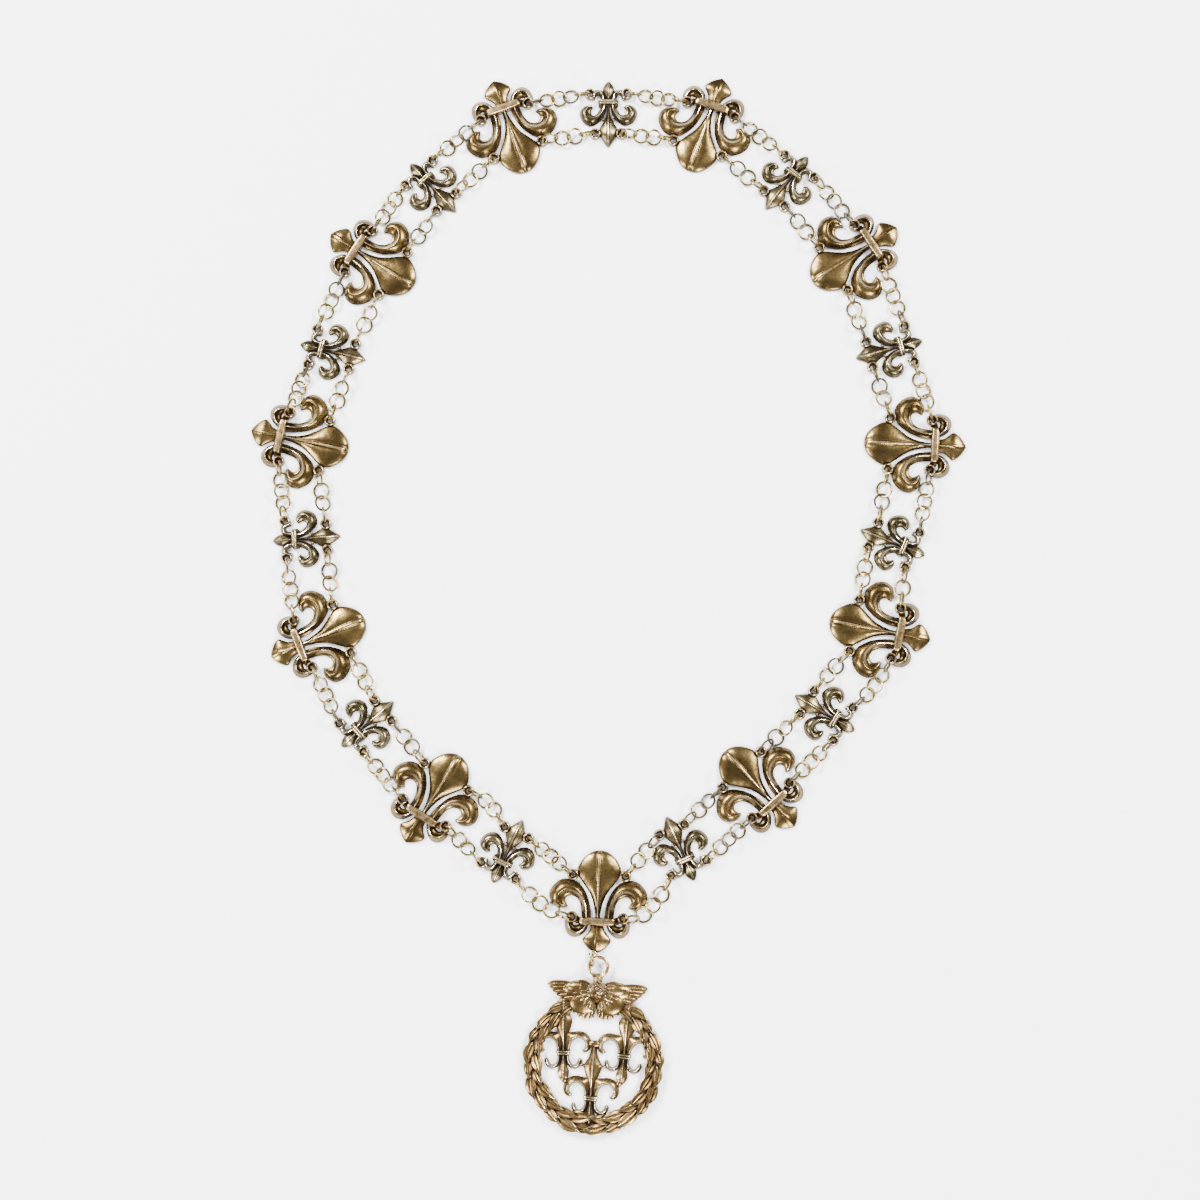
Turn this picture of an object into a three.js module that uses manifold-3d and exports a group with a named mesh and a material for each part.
// A livery collar, lying flat and face up.
//
// Eleven large and eleven small fleur-de-lis plaques alternate round a closed loop. Their petals point
// inward. Two short chains join each pair of neighbours, and a cast pendant hangs from the centre plaque.
//
// Millimetres, +Z up. The backs of the castings lie on z = 0. +Y runs from the pendant to the nape.
// Each plaque is drawn in its own frame: x across, y towards the tip of its centre petal.

import * as THREE from "three";
import { mergeVertices } from "three/addons/utils/BufferGeometryUtils.js";
import Module from "manifold-3d";

const wasm = await Module();
wasm.setup();

// ---------------------------------------------------------------- driving dimensions

// The plaques in order round the loop, from the nape down the left side and up the right.
// turn is in degrees, counter-clockwise from foot down.
const PLAQUES = [
  { kind: "small", x: 2.5, y: 208.5, turn: 180 },
  { kind: "large", x: -39, y: 201.5, turn: -160 },
  { kind: "small", x: -72.5, y: 177, turn: -137 },
  { kind: "large", x: -96.5, y: 144.5, turn: -123 },
  { kind: "small", x: -114.5, y: 106, turn: -104 },
  { kind: "large", x: -126, y: 67.5, turn: -102 },
  { kind: "small", x: -124.5, y: 26, turn: -86 },
  { kind: "large", x: -117, y: -15.5, turn: -68 },
  { kind: "small", x: -97.5, y: -52.5, turn: -49 },
  { kind: "large", x: -68.5, y: -82, turn: -32 },
  { kind: "small", x: -38, y: -105.5, turn: -25 },
  { kind: "large", x: 0, y: -124, turn: -2 },
  { kind: "small", x: 34, y: -104, turn: 24 },
  { kind: "large", x: 65.5, y: -77.5, turn: 43 },
  { kind: "small", x: 94, y: -47.5, turn: 59 },
  { kind: "large", x: 115, y: -12.5, turn: 79 },
  { kind: "small", x: 122.5, y: 24, turn: 68 },
  { kind: "large", x: 130, y: 65.5, turn: 87 },
  { kind: "small", x: 121.5, y: 106, turn: 105 },
  { kind: "large", x: 105.5, y: 145.5, turn: 123 },
  { kind: "small", x: 78.5, y: 178, turn: 142 },
  { kind: "large", x: 43.5, y: 201.5, turn: 161 },
];
const CENTRE_PLAQUE = 11;
const SLIVER = 0.04;
// The middle of the neck opening.
const HEART = new THREE.Vector2(0, 60);

const EYELET = { hole: 1.3, crest: 1.9, rim: 2.45, height: 2.6, sides: 6 };
const CHAIN = { width: 3, sides: 8, bite: 0.4, gap: 0.35, bowedSteps: 3 };
// Stretches that bow, by the number of the plaque they start from; the bow is outward, at mid length.
const BOWED = [
  { after: 9, strand: "innerEyelet", bow: -2.4 },
  { after: 10, strand: "outerEyelet", bow: 3 },
  { after: 11, strand: "outerEyelet", bow: 5.6 },
  { after: 14, strand: "outerEyelet", bow: 1.6 },
];
// The lug stands off the surface, so that the jump ring can pass under its rim.
const LUG = { x: -1.3, y: -24, base: 1.2, hole: 1.25, crest: 1.35, rim: 1.8, height: 0.8, sides: 8 };
const JUMP_RING = { x: -2.2, y: -150.1, radius: 2.6, wire: 0.8, sides: 12 };

// ---------------------------------------------------------------- the large plaque

// A blade is a symmetric form along y: half width, height of its rim and of its keel at each section.
const LARGE_PETAL = [
  { y: -9.5, half: 0.95, rim: 1.6, keel: 2.9 },
  { y: -3.5, half: 1.9, rim: 1.6, keel: 2.9 },
  { y: 3, half: 4.9, rim: 1.7, keel: 3.3 },
  { y: 8.6, half: 8.7, rim: 1.8, keel: 3.6 },
  { y: 12, half: 9.1, rim: 1.8, keel: 3.6 },
  { y: 16.2, half: 6.4, rim: 1.7, keel: 3.2 },
  { y: 19.2, half: 1.6, rim: 1.4, keel: 1.9 },
];
const LARGE_FOOT = [
  { y: -11.5, half: 2.7, rim: 1.8, keel: 2.9 },
  { y: -14.2, half: 3.2, rim: 1.8, keel: 2.9 },
  { y: -18, half: 5.9, rim: 1.8, keel: 2.8 },
  { y: -23.3, half: 0.9, rim: 1.9, keel: 2 },
];

// A hook is a curling form: the places of its inner edge, crest and outer edge, and the crest's height.
const LARGE_HOOK = [
  { inner: [-6.4, -9], crest: [-4.3, -9], outer: [-2.9, -9], height: 3 },
  { inner: [-7.6, -3], crest: [-5.8, -2], outer: [-4, -2], height: 3.2 },
  { inner: [-10.2, -0.2], crest: [-9, 2.2], outer: [-7.8, 5], height: 3.6 },
  { inner: [-12.3, 0], crest: [-13.2, 3], outer: [-13.4, 7.2], height: 3.8 },
  { inner: [-13.5, -1.2], crest: [-16.2, 1], outer: [-19.2, 3.9], height: 3.6 },
  { inner: [-13.6, -2.4], crest: [-16.7, -1.9], outer: [-20.1, -2.2], height: 3.1 },
  { inner: [-12.5, -4.3], crest: [-13.8, -4.8], outer: [-15, -5.4], height: 1.7 },
];
// The lower curl is a cup: its inner edge is the low floor, its crest the bright rim.
const LARGE_CURL = [
  { inner: [-7.6, -11.3], crest: [-4.7, -11.5], outer: [-3.5, -11.5], height: 2.6 },
  { inner: [-8.4, -12.2], crest: [-7, -14.8], outer: [-6.2, -16.2], height: 2.9 },
  { inner: [-9.5, -12], crest: [-11, -14.4], outer: [-12, -16], height: 2.9 },
  { inner: [-10, -10.8], crest: [-12.2, -10.8], outer: [-13.5, -11.2], height: 2.4 },
];
const LARGE = {
  petal: LARGE_PETAL,
  foot: LARGE_FOOT,
  hook: LARGE_HOOK,
  leaf: LARGE_CURL,
  leafFloor: 1.3,
  band: { half: 9, top: -8.6, crest: -9.6, bottom: -12, height: 4.4 },
  outerEyelet: [10.65, -8.7],
  innerEyelet: [10.9, 8.8],
};

// ---------------------------------------------------------------- the small plaque

const SMALL_PETAL = [
  { y: -4.5, half: 0.6, rim: 1.2, keel: 2.6 },
  { y: 0.5, half: 1, rim: 1.2, keel: 2.6 },
  { y: 7.4, half: 4.3, rim: 1.3, keel: 3.1 },
  { y: 9, half: 4, rim: 1.3, keel: 3.1 },
  { y: 14.4, half: 0.4, rim: 1, keel: 1.4 },
];
const SMALL_FOOT = [
  { y: -5.6, half: 1.1, rim: 1.2, keel: 2.6 },
  { y: -10.7, half: 2.5, rim: 1.2, keel: 2.5 },
  { y: -14.2, half: 0.4, rim: 0.9, keel: 1.2 },
];
const SMALL_HOOK = [
  { inner: [-3.3, -3.8], crest: [-1.7, -3.8], outer: [-0.4, -3.8], height: 2.5 },
  { inner: [-4.7, -0.6], crest: [-3, -0.1], outer: [-0.9, 0.6], height: 2.6 },
  { inner: [-6.5, 0.4], crest: [-6.2, 2.1], outer: [-5.6, 4.7], height: 2.9 },
  { inner: [-7.4, -0.4], crest: [-9.1, 1.4], outer: [-10.6, 3.8], height: 2.9 },
  { inner: [-7.5, -1.4], crest: [-9.8, -1], outer: [-12.3, -0.5], height: 2.6 },
  { inner: [-6.6, -3], crest: [-8, -3.2], outer: [-9, -4.1], height: 1.7 },
];
const SMALL_LEAF = [
  { inner: [-3.5, -5.8], crest: [-2.3, -5.8], outer: [-1.2, -5.8], height: 2.5 },
  { inner: [-3.9, -8], crest: [-3, -9], outer: [-2.1, -10], height: 2.6 },
  { inner: [-5, -8.2], crest: [-5.3, -9.4], outer: [-5.8, -10.7], height: 2.6 },
  { inner: [-5.7, -6.3], crest: [-6.4, -6.3], outer: [-7, -6.3], height: 2.3 },
];
const SMALL = {
  petal: SMALL_PETAL,
  foot: SMALL_FOOT,
  hook: SMALL_HOOK,
  leaf: SMALL_LEAF,
  leafFloor: 0,
  band: { half: 4.2, top: -3, crest: -4.3, bottom: -6.1, height: 4 },
  outerEyelet: [7.9, -8.7],
  innerEyelet: [5.6, 8.7],
};

// ---------------------------------------------------------------- the pendant

// Its own frame has its origin at the middle of the wreath, y towards the loop.
const PENDANT = { x: -1.7, y: -192, turn: -3 };
const LOOP = { y: 39.4, radius: 3.85, wire: 1.5, z: 2.9, sides: 12 };
const NECK = { top: 35.8, bottom: 31.5, half: 2.1, height: 3.4 };
const HEAD = { x: 0, y: 29, z: 3.7, width: 9.4, length: 10.4, depth: 7.3 };
const WREATH = { middle: 25.3, topAngle: 110, leaves: 8 };
const LEAF = {
  stem: { spread: 2.5, height: 2.6 },
  point: { spread: 3.6, height: 3.5 },
};
// Three openwork fleurs: the place of the middle of the band, and the turn of each.
const FLEURS = [
  { x: -12.6, y: 3.3, turn: 3 },
  { x: 12.5, y: 3.2, turn: -3 },
  { x: -0.3, y: -14.7, turn: -1 },
];
const FLEUR_PETAL = [
  { y: 0, half: 0.9, rim: 1.1, keel: 2.3 },
  { y: 5, half: 1.4, rim: 1.1, keel: 2.4 },
  { y: 12.5, half: 3.3, rim: 1.2, keel: 2.8 },
  { y: 18.5, half: 1.2, rim: 1.1, keel: 2 },
  { y: 22.6, half: 0.7, rim: 1, keel: 1.7 },
];
const FLEUR_FOOT = [
  { y: -0.5, half: 0.9, rim: 1.1, keel: 2.2 },
  { y: -8, half: 2.4, rim: 1.1, keel: 2.2 },
  { y: -12, half: 0.6, rim: 0.9, keel: 1.2 },
];
const FLEUR_HOOK = [
  { inner: [-2.9, 0.4], crest: [-2, 0.4], outer: [-0.6, 0.4], height: 2.2 },
  { inner: [-4.3, 4.9], crest: [-3.2, 5.6], outer: [-1.4, 6.4], height: 2.4 },
  { inner: [-6.5, 5.9], crest: [-6.5, 7], outer: [-6.5, 8.5], height: 2.6 },
  { inner: [-8.6, 4.9], crest: [-9.2, 5.8], outer: [-10.2, 7], height: 2.6 },
  { inner: [-9.3, 2.9], crest: [-10.2, 3], outer: [-11.5, 3.1], height: 2.3 },
  { inner: [-7.6, 1], crest: [-8, 0.4], outer: [-8.5, -0.1], height: 1.8 },
];
const FLEUR_LEAF = [
  { inner: [-2.4, -1], crest: [-1.6, -1], outer: [-0.8, -1], height: 2.2 },
  { inner: [-4, -4.5], crest: [-3.6, -5.5], outer: [-3.2, -6.5], height: 2.3 },
  { inner: [-6, -3.3], crest: [-6.7, -3.9], outer: [-7.5, -4.5], height: 1.9 },
];
const FLEUR = {
  petal: FLEUR_PETAL,
  foot: FLEUR_FOOT,
  hook: FLEUR_HOOK,
  leaf: FLEUR_LEAF,
  leafFloor: 0,
  band: { half: 3, top: 1.2, crest: 0.3, bottom: -1.2, height: 3.2 },
};
// The wings, left side: an upper blade spread outward and a lower one folded under the chin.
const UPPER_WING = [
  { inner: [-1.5, 26], crest: [-2.2, 28.6], outer: [-2.9, 31], height: 4.6 },
  { inner: [-8, 25.8], crest: [-8.6, 30], outer: [-9.3, 33.9], height: 4.2 },
  { inner: [-14.2, 26.8], crest: [-14.2, 30], outer: [-14.2, 33], height: 3.2 },
  { inner: [-19.6, 29.6], crest: [-20, 30], outer: [-20.3, 30.6], height: 1.8 },
];
const LOWER_WING = [
  { inner: [-1.5, 25.5], crest: [-6, 27], outer: [-11.4, 28.4], height: 4 },
  { inner: [-1, 22.6], crest: [-6, 23.6], outer: [-12, 25], height: 4.1 },
  { inner: [-0.7, 19.8], crest: [-3.4, 20.6], outer: [-6.9, 20.2], height: 3.4 },
  { inner: [0.4, 19.4], crest: [-1.4, 18.9], outer: [-3, 18.2], height: 2.4 },
];

// ---------------------------------------------------------------- shapes

const rad = THREE.MathUtils.degToRad;

// A closed three.js geometry as a manifold solid.
function solid(geometry) {
  geometry.deleteAttribute("normal");
  geometry.deleteAttribute("uv");
  const merged = mergeVertices(geometry, 1e-4);
  const vertProperties = new Float32Array(merged.attributes.position.array);
  const triVerts = new Uint32Array(merged.index.array);
  return new wasm.Manifold(new wasm.Mesh({ numProp: 3, vertProperties, triVerts }));
}

// Soldered or cast together; slivers under SLIVER left by the join are cleared away.
function joined(solids) {
  return solids.reduce((whole, piece) => whole.add(piece)).asOriginal().simplify(SLIVER);
}

// A solid as a three.js geometry with flat faces.
function geometryOf(manifold) {
  const mesh = manifold.getMesh();
  const geometry = new THREE.BufferGeometry();
  geometry.setAttribute("position", new THREE.BufferAttribute(mesh.vertProperties, 3));
  geometry.setIndex(new THREE.BufferAttribute(mesh.triVerts, 1));
  return geometry;
}

// A skin through closed sections with the same number of points, capped at both ends.
function loft(sections) {
  const count = sections[0].length;
  const index = [];
  for (let s = 0; s + 1 < sections.length; s++) {
    for (let p = 0; p < count; p++) {
      const a = s * count + p;
      const b = s * count + (p + 1) % count;
      index.push(a, b, b + count, a, b + count, a + count);
    }
  }
  const last = (sections.length - 1) * count;
  for (let p = 1; p + 1 < count; p++) {
    index.push(0, p + 1, p);
    index.push(last, last + p, last + p + 1);
  }
  const geometry = new THREE.BufferGeometry();
  geometry.setAttribute("position", new THREE.Float32BufferAttribute(sections.flat(2), 3));
  geometry.setIndex(signedVolume(sections.flat(), index) < 0 ? index.reverse() : index);
  return geometry;
}

function signedVolume(points, index) {
  let volume = 0;
  for (let i = 0; i < index.length; i += 3) {
    const [a, b, c] = [0, 1, 2].map((k) => new THREE.Vector3(...points[index[i + k]]));
    volume += a.dot(b.cross(c)) / 6;
  }
  return volume;
}

// A petal or foot: a flat back, upright rims and a keel along its middle.
function blade(rows) {
  return solid(loft(rows.map(({ y, half, rim, keel }) => [
    [-half, y, 0],
    [-half, y, rim],
    [0, y, keel],
    [half, y, rim],
    [half, y, 0],
  ])));
}

// A hooked petal, curl or leaf on one side; side is 1 as drawn or -1 mirrored.
function hook(rows, side, floor = 0) {
  return solid(loft(rows.map(({ inner, crest, outer, height }) => {
    const section = [
      [side * inner[0], inner[1], 0],
      [side * crest[0], crest[1], height],
      [side * outer[0], outer[1], height * 0.42],
      [side * outer[0], outer[1], 0],
    ];
    if (floor > 0) {
      section.splice(1, 0, [side * inner[0], inner[1], floor]);
    }
    return section;
  })));
}

// The band that ties the petals: a bar with one crest along it.
function bar({ half, top, crest, bottom, height }) {
  const slope = height - 1;
  return solid(loft([-half, half].map((x) => [
    [x, top, 0],
    [x, top, slope],
    [x, crest, height],
    [x, bottom, slope],
    [x, bottom, 0],
  ])));
}

// A cast ring for a chain, with a crest on top and a flat back.
function eyelet([x, y], size = EYELET) {
  const profile = [
    new THREE.Vector2(size.hole, 0),
    new THREE.Vector2(size.rim, 0),
    new THREE.Vector2(size.crest, size.height),
    new THREE.Vector2(size.hole, 0),
  ];
  const ring = new THREE.LatheGeometry(profile, size.sides);
  ring.rotateX(Math.PI / 2);
  ring.translate(x, y, size.base ?? 0);
  return outward(ring);
}

// A lathed ring can come out inside out; this gives it the right way round.
function outward(geometry) {
  geometry.deleteAttribute("normal");
  geometry.deleteAttribute("uv");
  const merged = mergeVertices(geometry, 1e-4);
  const places = merged.attributes.position;
  const points = Array.from({ length: places.count }, (_, i) => [
    places.getX(i),
    places.getY(i),
    places.getZ(i),
  ]);
  const index = Array.from(merged.index.array);
  merged.setIndex(signedVolume(points, index) < 0 ? index.reverse() : index);
  return solid(merged);
}

// The petals, band, leaves and foot that every fleur-de-lis here has.
function fleur(form) {
  const sides = [1, -1];
  return joined([
    blade(form.petal),
    blade(form.foot),
    bar(form.band),
    ...sides.map((side) => hook(form.hook, side)),
    ...sides.map((side) => hook(form.leaf, side, form.leafFloor)),
  ]);
}

function eyelets(form) {
  return [1, -1].flatMap((side) => [form.outerEyelet, form.innerEyelet]
    .map(([x, y]) => eyelet([side * x, y])));
}

// ---------------------------------------------------------------- chains

const FORMS = { large: LARGE, small: SMALL };

// Where a plaque's eyelet lies on the collar; strand is "outerEyelet" or "innerEyelet".
function eyeletPlace(plaque, strand, side) {
  const [x, y] = FORMS[plaque.kind][strand];
  const place = new THREE.Vector2(side * x, y).rotateAround(new THREE.Vector2(), rad(plaque.turn));
  return place.add(new THREE.Vector2(plaque.x, plaque.y));
}

// One stretch of chain as a tube on the surface, from a small plaque's eyelet to a large one's.
function chainTube(from, to, bow) {
  const middle = from.clone().add(to).multiplyScalar(0.5).add(bow);
  const start = from.clone().addScaledVector(middle.clone().sub(from).normalize(), EYELET.rim - CHAIN.bite);
  const end = to.clone().addScaledVector(middle.clone().sub(to).normalize(), EYELET.rim + CHAIN.gap);
  const z = CHAIN.width / 2;
  const [a, b, c] = [start, middle, end].map((p) => new THREE.Vector3(p.x, p.y, z));
  const bowed = bow.length() > 0;
  const path = bowed ? new THREE.CatmullRomCurve3([a, b, c]) : new THREE.LineCurve3(a, c);
  const section = new THREE.Shape();
  for (let s = 0; s < CHAIN.sides; s++) {
    const angle = (s + 0.5) * 2 * Math.PI / CHAIN.sides;
    const radius = z / Math.cos(Math.PI / CHAIN.sides);
    section[s ? "lineTo" : "moveTo"](radius * Math.cos(angle), radius * Math.sin(angle));
  }
  return solid(new THREE.ExtrudeGeometry(section, {
    steps: bowed ? CHAIN.bowedSteps : 1,
    extrudePath: path,
  }));
}

// The four stretches that leave a small plaque, in the collar's frame.
function chainsOf(number) {
  const plaque = PLAQUES[number];
  const outward = new THREE.Vector2(plaque.x, plaque.y).sub(HEART).normalize();
  const tubes = [];
  for (const side of [1, -1]) {
    const next = PLAQUES[(number + side + PLAQUES.length) % PLAQUES.length];
    const after = side > 0 ? number : (number - 1 + PLAQUES.length) % PLAQUES.length;
    for (const strand of ["outerEyelet", "innerEyelet"]) {
      const from = eyeletPlace(plaque, strand, side);
      const to = eyeletPlace(next, strand, -side);
      const row = BOWED.find((r) => r.after === after && r.strand === strand);
      tubes.push(chainTube(from, to, outward.clone().multiplyScalar(row?.bow ?? 0)));
    }
  }
  return joined(tubes);
}

// ---------------------------------------------------------------- pendant parts

// A lying wire ring round (0, y) at height z.
function wireRing({ radius, wire, sides }) {
  const ring = new THREE.TorusGeometry(radius, wire / 2, 5, sides);
  return solid(ring);
}

function neckAndHead() {
  const neck = new THREE.BoxGeometry(2 * NECK.half, NECK.top - NECK.bottom, NECK.height);
  neck.translate(0, (NECK.top + NECK.bottom) / 2, NECK.height / 2);
  const head = new THREE.SphereGeometry(0.5, 8, 6);
  head.rotateX(Math.PI / 2);
  head.scale(HEAD.width, HEAD.length, HEAD.depth);
  head.translate(HEAD.x, HEAD.y, HEAD.z);
  return joined([solid(neck), solid(head)]);
}

// The wreath: two rows of overlapping laurel leaves down each side, from the wings to the bottom.
// Every leaf widens and rises from its stem to its point, so the edges are stepped.
function wreath() {
  const sections = [];
  const step = (270 - WREATH.topAngle) / WREATH.leaves;
  for (let n = 0; n < WREATH.leaves; n++) {
    for (const { at, row } of [{ at: 0.05, row: LEAF.stem }, { at: 0.98, row: LEAF.point }]) {
      sections.push({ angle: WREATH.topAngle + (n + at) * step, ...row });
    }
  }
  const mirrored = sections.map((row) => ({ ...row, angle: 540 - row.angle })).reverse();
  return solid(loft([...sections, ...mirrored].map(({ angle, spread, height }) => {
    const at = (radius, z) => [radius * Math.cos(rad(angle)), radius * Math.sin(rad(angle)), z];
    return [
      at(WREATH.middle - spread, 0),
      at(WREATH.middle - spread, height * 0.55),
      at(WREATH.middle - spread / 2, height),
      at(WREATH.middle, height * 0.7),
      at(WREATH.middle + spread / 2, height),
      at(WREATH.middle + spread, height * 0.55),
      at(WREATH.middle + spread, 0),
    ];
  })));
}

function innerFleurs() {
  const shape = geometryOf(fleur(FLEUR));
  return joined(FLEURS.map(({ x, y, turn }) => {
    const copy = shape.clone();
    copy.rotateZ(rad(turn));
    copy.translate(x, y, 0);
    return solid(copy);
  }));
}

function pendantCasting() {
  const loop = wireRing(LOOP).translate([0, LOOP.y, LOOP.z]);
  const wings = [1, -1].flatMap((side) => [hook(UPPER_WING, side), hook(LOWER_WING, side)]);
  return joined([loop, neckAndHead(), wreath(), innerFleurs(), ...wings]);
}

// ---------------------------------------------------------------- assembly

const GILT = { color: 0xa38a55, roughness: 0.36, metalness: 0.95 };
const PALE_GILT = { color: 0xb9a66f, roughness: 0.32, metalness: 0.95 };

function part(name, geometry, finish, place) {
  const mesh = new THREE.Mesh(geometry, new THREE.MeshStandardMaterial(finish));
  mesh.name = name;
  mesh.position.set(place.x, place.y, 0);
  mesh.rotation.z = rad(place.turn);
  return mesh;
}

// The tubes are drawn in the collar's frame, so the plaque that carries them is put there too.
function placed(manifold, { x, y, turn }) {
  return manifold.rotate([0, 0, turn]).translate([x, y, 0]);
}

function collar() {
  const group = new THREE.Group();
  const origin = { x: 0, y: 0, turn: 0 };
  const large = joined([fleur(LARGE), ...eyelets(LARGE)]);
  const small = joined([fleur(SMALL), ...eyelets(SMALL)]);
  const hung = large.add(eyelet([LUG.x, LUG.y], LUG));
  const counts = { large: 0, small: 0 };
  PLAQUES.forEach((plaque, number) => {
    counts[plaque.kind] += 1;
    const label = String(counts[plaque.kind]).padStart(2, "0");
    if (plaque.kind === "large") {
      const casting = geometryOf(number === CENTRE_PLAQUE ? hung : large);
      group.add(part(`large_fleur_${label}`, casting, GILT, plaque));
    } else {
      const withChains = placed(small, plaque).add(chainsOf(number));
      group.add(part(`small_fleur_chains_${label}`, geometryOf(withChains), GILT, origin));
    }
  });
  group.add(part("pendant", geometryOf(pendantCasting()), GILT, PENDANT));
  const ring = wireRing(JUMP_RING).rotate([0, 90, 0]);
  const ringPlace = [JUMP_RING.x, JUMP_RING.y, JUMP_RING.radius + JUMP_RING.wire / 2];
  group.add(part("pendant_ring", geometryOf(ring.translate(ringPlace)), PALE_GILT, origin));
  centre(group);
  return group;
}

// The origin is the middle of the collar's box, on the surface it lies on.
function centre(group) {
  const box = new THREE.Box3().setFromObject(group, true);
  const middle = box.getCenter(new THREE.Vector3());
  group.position.set(-middle.x, -middle.y, -box.min.z);
}

export default collar();
